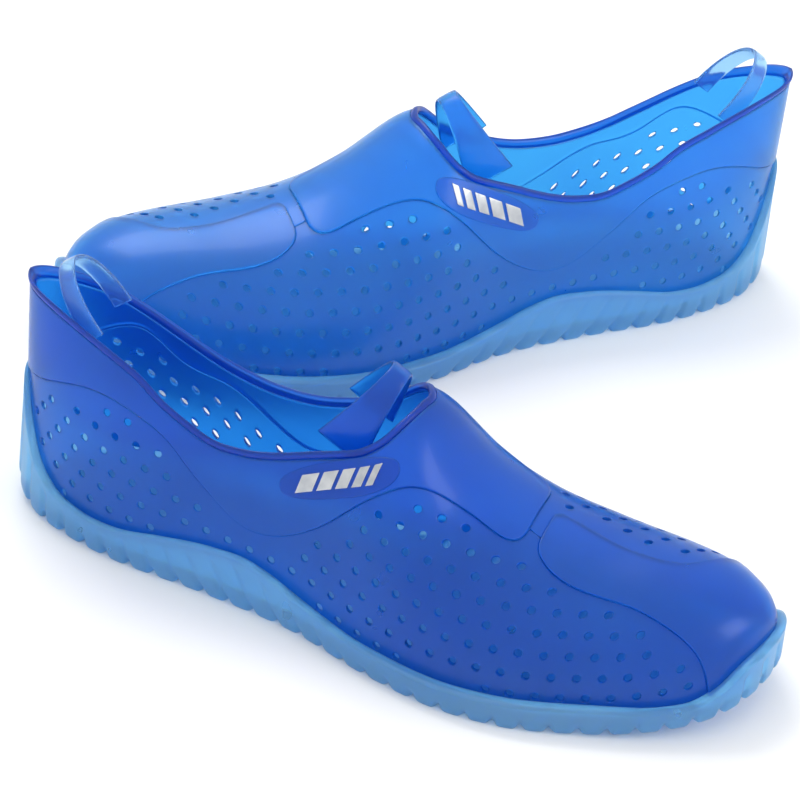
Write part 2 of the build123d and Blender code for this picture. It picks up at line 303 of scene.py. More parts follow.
@dataclass
class GirthChart:
    """The skin rolled out flat: u runs along the shoe and s round the arch, both true lengths.

    u is the length of the line at guide_turn from the heel; s is the length of the section's
    arch from the outer side's foot.
    """

    last: Last
    guide_turn: float
    inset: float = 0.8
    sections: int = 561
    columns: int = 361
    t: np.ndarray = field(init=False)
    u: np.ndarray = field(init=False)
    s: np.ndarray = field(init=False)
    z: np.ndarray = field(init=False)

    def __post_init__(self) -> None:
        """Measures the skin once, on a grid of sections and turns."""
        self.t = np.linspace(0, 1, self.sections)
        turn = np.linspace(0, pi, self.columns)
        grid = self.last.point(self.t[:, None], turn[None, :], self.inset)
        guide = grid[:, round(self.guide_turn / pi * (self.columns - 1))]
        self.u = np.concatenate([[0], np.cumsum(np.linalg.norm(np.diff(guide, axis=0), axis=1))])
        steps = np.linalg.norm(np.diff(grid, axis=1), axis=2)
        self.s = np.concatenate([np.zeros((self.sections, 1)), np.cumsum(steps, axis=1)], axis=1)
        self.z = grid[:, :, 2]

    def _rows(self, table: np.ndarray, t: np.ndarray) -> np.ndarray:
        """A table's rows at t, mixed from the two measured sections beside it.

        Args:
            table: one row of values for each measured section.
            t: sections wanted.

        Returns:
            One row for each t.
        """
        place = np.clip(t * (self.sections - 1), 0, self.sections - 1)
        i = np.minimum(place.astype(int), self.sections - 2)
        w = (place - i)[:, None]
        return table[i] * (1 - w) + table[i + 1] * w

    def _turn_where(
        self, table: np.ndarray, t: np.ndarray, value: np.ndarray, columns: int
    ) -> np.ndarray:
        """The turn at which a rising row of table reaches value.

        Args:
            table: one row of rising values for each measured section.
            t: sections wanted.
            value: what each row has to reach.
            columns: how many of the table's first columns to look in.

        Returns:
            One turn for each t.
        """
        rows = self._rows(table, t)[:, :columns]
        k = np.clip((rows <= value[:, None]).sum(1) - 1, 0, columns - 2)
        pick = np.arange(len(k))
        low, high = rows[pick, k], rows[pick, k + 1]
        part = np.clip((value - low) / np.maximum(high - low, 1e-9), 0, 1)
        return (k + part) * pi / (self.columns - 1)

    def flat(self, t: np.ndarray, turn: np.ndarray) -> np.ndarray:
        """Rolls points out flat.

        Args:
            t: sections.
            turn: turns round the arch, one for each t.

        Returns:
            (n, 2) points of the chart, as (u, s).
        """
        place = np.clip(turn / pi * (self.columns - 1), 0, self.columns - 1)
        j = np.minimum(place.astype(int), self.columns - 2)
        rows, pick = self._rows(self.s, t), np.arange(len(t))
        s = rows[pick, j] + (place - j) * (rows[pick, j + 1] - rows[pick, j])
        return np.stack([np.interp(t, self.t, self.u), s], -1)

    def lift(self, points: np.ndarray) -> tuple[np.ndarray, np.ndarray]:
        """Section and turn of points given as (u, s)."""
        t = np.interp(points[:, 0], self.u, self.t)
        return t, self._turn_where(self.s, t, points[:, 1], self.columns)

    def turn_at_height(self, t: np.ndarray, z: np.ndarray) -> np.ndarray:
        """The turn on the outer side at which the skin is z high."""
        return self._turn_where(self.z, t, z, self.columns // 2 + 1)


@dataclass
class SideChart:
    """The outer side seen square on: a point is (x, z)."""

    skin: GirthChart

    def lift(self, points: np.ndarray) -> tuple[np.ndarray, np.ndarray]:
        """Section and turn of points given as (x, z)."""
        t = self.skin.last.station(points[:, 0])
        return t, self.skin.turn_at_height(t, points[:, 1])


# ---- meshes -----------------------------------------------------------------------------


@dataclass
class Skin:
    """Vertices and faces in a shoe's own frame, millimetres."""

    points: np.ndarray
    faces: list[tuple[int, ...]]

    def joined(self, other: "Skin") -> "Skin":
        """Both meshes as one.

        Args:
            other: the mesh to add.

        Returns:
            The new mesh.
        """
        shift = len(self.points)
        moved = [tuple(i + shift for i in face) for face in other.faces]
        return Skin(np.vstack([self.points, other.points]), self.faces + moved)


def grid_faces(rows: int, columns: int, wrap_rows: bool = False, wrap_columns: bool = False) -> list:
    """Four-cornered faces of a grid of points stored row by row.

    Args:
        rows: number of rows.
        columns: points in a row.
        wrap_rows: whether the last row joins the first one.
        wrap_columns: whether each row's last point joins its first one.

    Returns:
        The faces, as tuples of point numbers.
    """
    i = np.arange(rows if wrap_rows else rows - 1)[:, None]
    j = np.arange(columns if wrap_columns else columns - 1)[None, :]
    k, m = (i + 1) % rows, (j + 1) % columns
    corners = [i * columns + j, k * columns + j, k * columns + m, i * columns + m]
    quads = np.stack(np.broadcast_arrays(*corners), -1).reshape(-1, 4)
    return [tuple(quad) for quad in quads.tolist()]


@dataclass
class Outline:
    """The edge of a zone on a chart, travelled with the zone on its left.

    An open outline's runs end on the heel's or the toe's middle line, where the two halves of
    the shell meet and are welded; a closed outline is one run.
    """

    runs: list[np.ndarray]
    closed: bool = False
    weld_steps: int = 8

    def offset(self, distance: float) -> list[np.ndarray]:
        """The runs moved inwards; ends on a middle line only slide along it.

        Args:
            distance: how far.

        Returns:
            The moved runs.
        """
        moved = []
        for run in self.runs:
            shift = left_normals(run, self.closed)
            if not self.closed:
                shift[[0, -1], 0] = 0
                shift[[0, -1], 1] = np.sign(shift[[0, -1], 1])
            moved.append(run + shift * distance)
        return moved

    def polygon(self, distance: float) -> np.ndarray:
        """One closed ring of points, with the welded stretches filled in.

        Args:
            distance: how far the outline is moved inwards first.

        Returns:
            (n, 2) points.
        """
        runs = self.offset(distance)
        if self.closed:
            return runs[0]
        ring = []
        for run, following in zip(runs, runs[1:] + runs[:1]):
            w = np.linspace(0, 1, self.weld_steps + 1)[1:-1, None]
            ring += [run, run[-1] * (1 - w) + following[0] * w]
        return np.vstack(ring)


@dataclass
class ShellCutter:
    """Cuts a closed shell with rounded edges from a chart.

    The edge is a quarter circle of radius round_over from each face to the wall between them.
    support_reach places a second ring beside each edge, in radii of its rounding; rim_share lies
    between the middles of the last triangle inside a hole's rim and the first one outside.
    """

    chart: GirthChart | SideChart
    outer: float
    inner: float
    round_over: float = 0.35
    hole_round: float = 0.3
    hole_points: int = 14
    grain: float = 3.0
    row_height: float = 0.87
    seam: float = 0.06
    clear_of_border: float = 0.3
    clear_of_hole: float = 1.1
    support_reach: float = 2.4
    rim_share: float = 0.955

    def _surface(self, points: np.ndarray, inset: float | np.ndarray) -> np.ndarray:
        """Points of the chart on the skin.

        Args:
            points: (n, 2) points of the chart.
            inset: how far inside the smooth zones' surface.

        Returns:
            (n, 3) points.
        """
        skin = self.chart.skin if isinstance(self.chart, SideChart) else self.chart
        t, turn = self.chart.lift(points)
        return skin.last.point(t, turn, inset)

    def _circle(self, centres: np.ndarray, radius: float) -> np.ndarray:
        """Clockwise rings round the hole centres, as (holes, hole_points, 2)."""
        a = -np.linspace(0, tau, self.hole_points, endpoint=False)
        return centres[:, None, :] + radius * np.stack([np.cos(a), np.sin(a)], -1)

    def _steps(self, radius: float) -> list[tuple[float, float]]:
        """The rings that round one edge over, from one face to the other.

        Args:
            radius: the rounding's radius.

        Returns:
            (distance from the outline, depth) of each ring.
        """
        curve = [(radius * (1 - sin(a)), radius * (1 - cos(a))) for a in (0, pi / 6, pi / 3, pi / 2)]
        thick = self.inner - self.outer
        return curve + [(off, thick - deep) for off, deep in reversed(curve)]

    def _flat_triangles(self, outline: Outline, holes: np.ndarray, radius: float) -> tuple:
        """Triangles over the zone: its border and holes are kept, the rest is an even scatter.

        Args:
            outline: the zone's edge.
            holes: (n, 2) centres of round holes.
            radius: the holes' radius.

        Returns:
            The points on the chart and the faces between them.
        """
        border = outline.polygon(self.seam + self.round_over)
        support = outline.polygon(self.seam + self.support_reach * self.round_over)
        rims = self._circle(holes, radius + self.hole_round).reshape(-1, 2)
        beside = self._circle(holes, radius + self.support_reach * self.hole_round).reshape(-1, 2)
        low, high = border.min(0), border.max(0)
        scatter = []
        for k, s in enumerate(np.arange(low[1], high[1], self.grain * self.row_height)):
            u = np.arange(low[0] + (k % 2) * self.grain / 2, high[0], self.grain)
            scatter.append(np.stack([u, np.full_like(u, s)], -1))
        free = np.vstack([np.vstack(scatter), support])
        free = free[inside(free, border)]
        free = free[distance_to(free, border) > self.clear_of_border]
        if len(holes):
            gap = np.min(np.linalg.norm(free[:, None] - holes[None], axis=2), axis=1)
            free = np.vstack([free[gap > radius + self.clear_of_hole], beside])
        points = np.vstack([border, rims, free])
        n, m = len(border), self.hole_points
        loops = [np.arange(n)] + [n + m * k + np.arange(m) for k in range(len(holes))]
        edges = np.vstack([np.stack([loop, np.roll(loop, -1)], -1) for loop in loops])
        made = delaunay_2d_cdt([Vector(p) for p in points], edges.tolist(), [], 0, 1e-6)
        out, faces = np.array([tuple(v) for v in made[0]]), np.array(made[2])
        middle = out[faces].mean(1)
        keep = inside(middle, border)
        if len(holes):
            rim = self.rim_share * (radius + self.hole_round)
            keep &= np.min(np.linalg.norm(middle[:, None] - holes[None], axis=2), axis=1) > rim
        return out, faces[keep]

    def _strip(self, rings: list[np.ndarray], closed: bool) -> Skin:
        """The wall through a list of rings of equal length."""
        points = np.vstack(rings)
        return Skin(points, grid_faces(len(rings), len(rings[0]), wrap_columns=closed))

    def cut(self, outline: Outline, holes: np.ndarray | None = None, radius: float = 1.45) -> Skin:
        """The closed shell of a zone.

        Args:
            outline: the zone's edge.
            holes: (n, 2) centres of round holes, or None.
            radius: the holes' radius.

        Returns:
            Two faces and the walls between them; make_piece merges their shared borders.
        """
        holes = np.zeros((0, 2)) if holes is None else holes
        flat, faces = self._flat_triangles(outline, holes, radius)
        top = Skin(self._surface(flat, self.outer), [tuple(f) for f in faces.tolist()])
        under = Skin(self._surface(flat, self.inner), [tuple(f[::-1]) for f in faces.tolist()])
        shell = top.joined(under)
        for run_number in range(len(outline.runs)):
            rings = [
                self._surface(outline.offset(self.seam + off)[run_number], self.outer + deep)
                for off, deep in self._steps(self.round_over)
            ]
            shell = shell.joined(self._strip(rings, outline.closed))
        for k in range(len(holes)):
            rings = [
                self._surface(self._circle(holes[k : k + 1], radius + off)[0], self.outer + deep)
                for off, deep in self._steps(self.hole_round)
            ]
            shell = shell.joined(self._strip(rings, True))
        return shell


@dataclass
class Stance:
    """Where one shoe stands in the row's frame, read from its heel pull loop's joint."""

    side: Side
    heel_foot_x: float = 28.0
    origin: np.ndarray = field(init=False)
    axes: np.ndarray = field(init=False)

    def __post_init__(self) -> None:
        """The loops' hinge axis lies across the shoe, so the shoe points along that axis turned down."""
        joint = next(j for j in frame["joints"] if j["name"] == f"{self.side.word}_heel_loop_bend")
        across = np.array(joint["axis"], float)
        ahead = np.cross(across, (0, 0, 1))
        ahead /= np.linalg.norm(ahead)
        across = np.cross((0, 0, 1), ahead)
        self.axes = np.array([ahead, across * self.side.value, (0, 0, 1)])
        foot = np.array(joint["pos_m"]) - self.heel_foot_x * MM * ahead
        self.origin = np.array([foot[0], foot[1], 0])

    def place(self, points: np.ndarray) -> np.ndarray:
        """Shoe points in millimetres as points of the row in metres."""
        return self.origin + (points * MM) @ self.axes

    def make_piece(
        self, name: str, skin: Skin, body: str, slot: str, finish: bpy.types.Material
    ) -> bpy.types.Object:
        """Makes a smooth, closed, outward-facing piece, attaches it to the side's shoe body if body is shoe,
        and hides the CAD node it stands for.

        Args:
            name: the piece's and the CAD node's name without the side.
            skin: the mesh in the shoe's frame.
            body: the CAD body's name without the side.
            slot: the record's material slot; not used.
            finish: the material.

        Returns:
            The new object.
        """
        full = f"{self.side.word}_{name}"
        mesh = bpy.data.meshes.new(f"{full}_made")
        mesh.from_pydata(self.place(skin.points).tolist(), [], skin.faces)
        work = bmesh.new()
        work.from_mesh(mesh)
        bmesh.ops.remove_doubles(work, verts=work.verts, dist=0.008 * MM)
        bmesh.ops.dissolve_degenerate(work, edges=work.edges, dist=0.002 * MM)
        bmesh.ops.recalc_face_normals(work, faces=work.faces)
        open_edges = sum(1 for edge in work.edges if not edge.is_manifold)
        work.to_mesh(mesh)
        work.free()
        mesh.polygons.foreach_set("use_smooth", np.ones(len(mesh.polygons), bool))
        mesh.materials.append(finish)
        piece = bpy.data.objects.new(f"{full}_made", mesh)
        bpy.context.scene.collection.objects.link(piece)
        if body == "shoe":
            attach(piece, f"{self.side.word}_shoe")
        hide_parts(full)
        log.info("%s: %d faces, %d open edges", full, len(mesh.polygons), open_edges)
        return piece


# ---- shader arithmetic --------------------------------------------------------------------


class Nodes:
    """Makes the nodes of one material."""

    def __init__(self, material: bpy.types.Material) -> None:
        """Starts from an empty tree.

        Args:
            material: the material that the nodes make up.
        """
        material.use_nodes = True
        self.tree = material.node_tree
        self.tree.nodes.clear()

    def add(self, kind: str, settings: dict | None = None, sockets: dict | None = None) -> bpy.types.Node:
        """Makes a node.

        Args:
            kind: its type without the ShaderNode prefix.
            settings: properties set first.
            sockets: input values or links, by name or number.

        Returns:
            The node.
        """
        node = self.tree.nodes.new(f"ShaderNode{kind}")
        for name, value in (settings or {}).items():
            setattr(node, name, value)
        for name, value in (sockets or {}).items():
            if isinstance(value, Signal):
                value = value.socket
            if isinstance(value, bpy.types.NodeSocket):
                self.tree.links.new(value, node.inputs[name])
            else:
                node.inputs[name].default_value = value
        return node

    def signal(self, node: bpy.types.Node, output: str | int = 0) -> "Signal":
        """An output of a node, ready for arithmetic."""
        return Signal(self, node.outputs[output])

    def noise(self, scale: float, **sockets: float) -> "Signal":
        """Noise on the piece's own coordinates, in metres."""
        place = self.add("TexCoord").outputs["Object"]
        return self.signal(self.add("TexNoise", {}, {"Vector": place, "Scale": scale, **sockets}))

    def mix_colour(self, share: "Signal", first: tuple, second: tuple) -> bpy.types.NodeSocket:
        """A colour between two, by share."""
        node = self.add("Mix", {"data_type": "RGBA"}, {0: share, 6: first, 7: second})
        return node.outputs[2]


class Signal:
    """A shader socket that takes part in Python arithmetic; each operation adds a Math node."""

    def __init__(self, nodes: Nodes, socket: bpy.types.NodeSocket) -> None:
        """Wraps an output socket."""
        self.nodes, self.socket = nodes, socket

    def _math(self, operation: str, *values: "Signal | float") -> "Signal":
        """A Math node on the given values, in order."""
        node = self.nodes.add("Math", {"operation": operation}, dict(enumerate(values)))
        return Signal(self.nodes, node.outputs[0])

    def __add__(self, other: "Signal | float") -> "Signal":
        """Sum."""
        return self._math("ADD", self, other)

    __radd__ = __add__

    def __mul__(self, other: "Signal | float") -> "Signal":
        """Product."""
        return self._math("MULTIPLY", self, other)

    __rmul__ = __mul__

    def __sub__(self, other: "Signal | float") -> "Signal":
        """Difference."""
        return self._math("SUBTRACT", self, other)

    def __rsub__(self, other: "Signal | float") -> "Signal":
        """Difference from a number."""
        return self._math("SUBTRACT", other, self)

    def clamped(self) -> "Signal":
        """Kept between 0 and 1."""
        return self._math("MINIMUM", self._math("MAXIMUM", self, 0.0), 1.0)


@dataclass(frozen=True)
class SoftPlastic:
    """Translucent moulded soft plastic: a milky body that lets light through and stains it."""

    name: str
    colour: tuple[float, float, float, float]
    deep_colour: tuple[float, float, float, float]
    stain: tuple[float, float, float, float]
    stain_density: float
    clearness: float = 0.75
    roughness: float = 0.3
    cloud_scale: float = 22.0
    grain_scale: float = 700.0
    grain_height: float = 0.00006

    def make(self) -> bpy.types.Material:
        """Body colour drifts in soft clouds; a fine grain and slow waves break up the gloss.

        Returns:
            The material.
        """
        material = bpy.data.materials.new(self.name)
        nodes = Nodes(material)
        cloud = nodes.noise(self.cloud_scale, Detail=3.0)
        grain = nodes.noise(self.grain_scale, Detail=2.0)
        wave = nodes.noise(self.cloud_scale * 3)
        share = (cloud * 2.4 - 0.7).clamped()
        colour = nodes.mix_colour(share, self.colour, self.deep_colour)
        rough = wave * 0.12 + (self.roughness - 0.06)
        height = wave * 6.0 + grain
        bump = nodes.add("Bump", {}, {"Height": height, "Strength": 0.35, "Distance": self.grain_height})
        shader = nodes.add("BsdfPrincipled", {"distribution": "MULTI_GGX"}, {
            "Base Color": colour, "Roughness": rough, "Normal": bump.outputs[0],
            "Transmission Weight": self.clearness, "IOR": 1.35,
            "Specular IOR Level": 0.2, "Coat Weight": 0.08, "Coat Roughness": 0.08,
        })
        absorb = nodes.add("VolumeAbsorption", {}, {"Color": self.stain, "Density": self.stain_density})
        nodes.add("OutputMaterial", {}, {"Surface": shader.outputs[0], "Volume": absorb.outputs[0]})
        return material


@dataclass(frozen=True)
class SilverPrint:
    """A thin metallic print, a little worn and brushed along its length."""

    name: str
    colour: tuple[float, float, float, float] = (0.62, 0.64, 0.66, 1)
    worn: tuple[float, float, float, float] = (0.34, 0.37, 0.42, 1)

    def make(self) -> bpy.types.Material:
        """Bright metal flecked with a duller one, with fine grain in its roughness and height.

        Returns:
            The material.
        """
        material = bpy.data.materials.new(self.name)
        nodes = Nodes(material)
        patch = nodes.noise(160.0, Detail=4.0)
        fleck = nodes.noise(1500.0)
        colour = nodes.mix_colour((patch * 2.0 - 0.6).clamped(), self.colour, self.worn)
        bump = nodes.add("Bump", {}, {"Height": fleck, "Strength": 0.3, "Distance": 0.00005})
        shader = nodes.add("BsdfPrincipled", {}, {
            "Base Color": colour, "Roughness": fleck * 0.3 + 0.22, "Normal": bump.outputs[0], "Metallic": 0.9,
        })
        nodes.add("OutputMaterial", {}, {"Surface": shader.outputs[0]})
        return material


@dataclass(frozen=True)
class Paper:
    """A plain white studio floor with the faintest mottle."""

    name: str = "studio_floor"

    def make(self) -> bpy.types.Material:
        """Two near-white colours mixed by noise.

        Returns:
            The material.
        """
        material = bpy.data.materials.new(self.name)
        nodes = Nodes(material)
        mottle = nodes.noise(4.0)
        colour = nodes.mix_colour(mottle, (0.93, 0.93, 0.93, 1), (0.9, 0.9, 0.905, 1))
        shader = nodes.add("BsdfPrincipled", {}, {"Base Color": colour, "Roughness": 0.9})
        nodes.add("OutputMaterial", {}, {"Surface": shader.outputs[0]})
        return material


# ---- zones of the upper ----------------------------------------------------------------------


@dataclass
class ZoneEdges:
    """The lines between the upper's zones, kept as (section, turn) and read through any chart."""

    last: Last
    skin: GirthChart
    collar_lateral: Line = ((0, 48.5), (12, 48), (24, 47.5), (38, 47), (50, 46), (60, 43), (70, 41.5),
                            (80, 41), (90, 43), (100, 45.5), (114, 49.5), (126, 53.5), (134, 57.5),
                            (140, 65), (144.5, 78), (147, 90), (150, 90))
    collar_medial: Line = ((0, 131.5), (8, 134), (22, 137), (33, 139.5), (46, 142.5), (60, 144.5), (77, 143),
                           (93, 140), (109, 136.5), (121, 132.5), (134, 122), (140, 112), (144.5, 101),
                           (147, 90), (150, 90))
    saddle_lateral: Line = ((0, 25.5), (8, 27), (20, 31), (35, 35), (49, 35.5), (62, 34), (73, 28.5),
                            (82, 25), (91, 21), (101, 19.5), (112, 22), (125, 29), (137, 39.5), (147, 48),
                            (156, 57), (163, 61), (172, 65), (180, 65.5), (187, 65), (194, 66))
    saddle_medial: Line = ((0, 154.5), (8, 153), (20, 149), (35, 145.5), (42, 150), (54, 152), (62, 151),
                           (73, 152), (82, 155), (91, 159), (101, 160.5), (112, 158), (125, 151),
                           (137, 140.5), (147, 132), (156, 123), (163, 119), (172, 115), (180, 114),
                           (187, 111), (194, 108))
    guard_lateral: Line = ((194, 72), (199, 67), (204, 62.5), (212, 59), (224, 57), (236, 55), (248, 49),
                           (258, 40), (264, 29), (267, 15), (268.5, 0), (280, 0))
    guard_medial: Line = ((194, 92), (203, 90), (212, 88), (224, 85), (236, 84), (246, 87), (252, 97),
                          (258, 117), (263, 143), (267, 168), (270, 180), (280, 180))
    throat: float = 147.0
    saddle_front: float = 192.5
    guard_back: float = 197.5
    guard_feet: tuple[float, float] = (268.4, 269.9)
    saddle_corner: float = 8.0
    guard_corner: float = 5.0
    overlap: float = 3.5

    def trace(self, table: Line, start: float, end: float) -> np.ndarray:
        """A table from start to end as (section, turn in radians)."""
        t = np.linspace(float(self.last.station(start)), float(self.last.station(end)), 500)
        return np.stack([t, np.radians(through(table, self.last.nominal(t)))], -1)

    def _rounded(self, path: np.ndarray, reach: float) -> np.ndarray:
        """A (section, turn) path with its corners rounded on the skin, still (section, turn)."""
        t, turn = self.skin.lift(softened(self.skin.flat(*path.T), reach))
        return np.stack([t, turn], -1)

    def foot(self, t: np.ndarray) -> np.ndarray:
        """Turn of the upper's lower edge, a little below the lip of the cup."""
        lip = through(self.last.cup, self.last.nominal(t))
        return self.skin.turn_at_height(t, lip - self.overlap)

    def collar(self) -> np.ndarray:
        """The opening's edge, from the heel along the outer side and back along the inner side.

        Returns:
            (section, turn) points.
        """
        out = self.trace(self.collar_lateral, 0, self.throat)
        back = self.trace(self.collar_medial, self.throat, 0)
        return self._rounded(np.vstack([out, back[1:]]), 2.0)

    def saddle(self) -> np.ndarray:
        """The saddle's outer edge, heel to tongue to heel.

        Returns:
            (section, turn) points.
        """
        out = self.trace(self.saddle_lateral, 0, self.saddle_front)
        back = self.trace(self.saddle_medial, self.saddle_front, 0)
        return self._rounded(np.vstack([out, back]), self.saddle_corner)

    def guard(self) -> np.ndarray:
        """The toe guard's edge, from the outer foot over its tongue to the inner foot.

        Returns:
            (section, turn) points.
        """
        back = self.trace(self.guard_lateral, self.guard_feet[0], self.guard_back)
        out = self.trace(self.guard_medial, self.guard_back, self.guard_feet[1])
        path = self._rounded(np.vstack([back, out]), self.guard_corner)
        foot = self.foot(path[:, 0])
        return path[(path[:, 1] > foot) & (path[:, 1] < pi - foot)]

    def lower(self, start: float, end: float, medial: bool) -> np.ndarray:
        """The upper's lower edge between two sections, on one side.

        Args:
            start: first section.
            end: last section.
            medial: whether this is the instep side.

        Returns:
            (section, turn) points.
        """
        t = np.linspace(start, end, 400)
        turn = self.foot(t)
        return np.stack([t, pi - turn if medial else turn], -1)


@dataclass
class Upper:
    """The perforated panels, the smooth saddle and the toe guard of one shoe."""

    last: Last
    skin: GirthChart
    edges: ZoneEdges
    step_height: float = 0.8
    wall: float = 2.4
    edge_step: float = 1.5
    hole_radius: float = 1.45
    hole_pitch: float = 8.5
    row_pitch: float = 7.6
    hole_margin: float = 4.4
    row_sway: tuple[float, float] = (1.6, 34.0)
    first_hole: tuple[float, float] = (3.0, 0.62)
    rim_width: float = 2.6
    rim_proud: float = 0.7
    heel_gap: float = 0.0004

    def vent(self, medial: bool) -> Skin:
        """One perforated panel: everything on its side between the cup and the smooth zones.

        Args:
            medial: whether this is the instep side.

        Returns:
            The panel's closed shell.
        """
        chart = GirthChart(self.last, radians(160 if medial else 20))
        saddle, guard = self.edges.saddle(), self.edges.guard()
        saddle_tip = int(np.argmax(saddle[:, 0]))
        guard_tip = int(np.argmin(guard[:, 0]))
        if medial:
            guard_part, saddle_part = guard[: guard_tip - 1 : -1], saddle[saddle_tip:]
        else:
            guard_part, saddle_part = guard[: guard_tip + 1], saddle[saddle_tip::-1]
        lower = self.edges.lower(self.heel_gap, float(guard_part[0, 0]), medial)
        saddle_part = saddle_part[saddle_part[:, 0] > self.heel_gap]
        path = np.vstack([lower, guard_part, saddle_part])
        border = resampled(chart.flat(*path.T), self.edge_step, closed=True)
        if medial:
            border = border[::-1]
        holes = self._holes(chart, border, medial)
        log.info("%s vent panel: %d holes", "medial" if medial else "lateral", len(holes))
        cutter = ShellCutter(chart, self.step_height, self.wall)
        return cutter.cut(Outline([border], closed=True), holes, self.hole_radius)

    def _holes(self, chart: GirthChart, border: np.ndarray, medial: bool) -> np.ndarray:
        """Centres in staggered rows that bend with the cup's lip, clear of the panel's edge.

        Args:
            chart: the panel's chart.
            border: the panel's edge on it.
            medial: whether this is the instep side.

        Returns:
            (n, 2) points of the chart.
        """
        t = np.linspace(0.02, 0.98, 160)
        foot = self.edges.foot(t)
        lip = chart.flat(t, pi - foot if medial else foot)
        reach = 22
        kernel = np.ones(2 * reach + 1) / (2 * reach + 1)
        base = np.convolve(np.pad(lip[:, 1], reach, mode="edge"), kernel, "valid")
        rows, columns = np.meshgrid(np.arange(-14, 15), np.arange(60), indexing="ij")
        (start, lift), (sway, wave) = self.first_hole, self.row_sway
        u = self.hole_pitch * (columns + 0.5 * (rows % 2)) + start
        s = np.interp(u, lip[:, 0], base) + self.row_pitch * (rows + lift) + sway * np.sin(u / wave)
        centres = np.stack([u.ravel(), s.ravel()], -1)
        centres = centres[inside(centres, border)]
        return centres[distance_to(centres, border) > self.hole_margin]

    def saddle(self) -> Skin:
        """The smooth band round the opening with its tongue on the instep.

        Returns:
            One ring, closed at the heel.
        """
        outer = resampled(self.skin.flat(*self.edges.saddle().T), self.edge_step)
        inner = resampled(self.collar_offset(self.rim_width), self.edge_step)[::-1]
        for run in (outer, inner):
            run[[0, -1], 0] = 0
        return ShellCutter(self.skin, 0.0, self.wall).cut(Outline([outer, inner]))

    def guard(self) -> Skin:
        """The smooth cap on the toe.

        Returns:
            One shell, closed round the nose.
        """
        edge = self.edges.guard()
        outer = self.edges.lower(1.0, float(edge[0, 0]), medial=False)
        inner = self.edges.lower(float(edge[-1, 0]), 1.0, medial=True)
        path = np.vstack([outer, edge, inner])
        run = resampled(self.skin.flat(*path.T), self.edge_step)[::-1]
        run[[0, -1], 0] = self.skin.u[-1]
        return ShellCutter(self.skin, 0.0, self.wall).cut(Outline([run]))

    def collar_offset(self, distance: float) -> np.ndarray:
        """The collar line on the skin, moved away from the opening.

        Args:
            distance: how far.

        Returns:
            (n, 2) points of the chart.
        """
        line = resampled(self.skin.flat(*self.edges.collar().T), 1.2)
        away = -left_normals(line, closed=False)
        away[[0, -1], 0] = 0
        away[[0, -1], 1] = np.sign(away[[0, -1], 1])
        return line + away * distance

    def rim(self) -> Skin:
        """The thick edge: a squared bead carried round the collar line.

        Round the bead one direction runs over the skin, away from the opening, and the other
        through the wall, from proud of it to its inner face.

        Returns:
            A closed ring.
        """
        across, through_wall = superellipse(20, 2.7)
        near, far = self.collar_offset(0.0), self.collar_offset(self.rim_width)
        share = (0.5 + 0.5 * across)[None, :, None]
        flat = near[:, None] * (1 - share) + far[:, None] * share
        low, high = -self.rim_proud, self.wall
        inset = (low + high) / 2 + (high - low) / 2 * through_wall
        t, turn = self.skin.lift(flat.reshape(-1, 2))
        points = self.last.point(t, turn, np.tile(inset, len(near)))
        return Skin(points, grid_faces(len(near), len(across), wrap_columns=True))


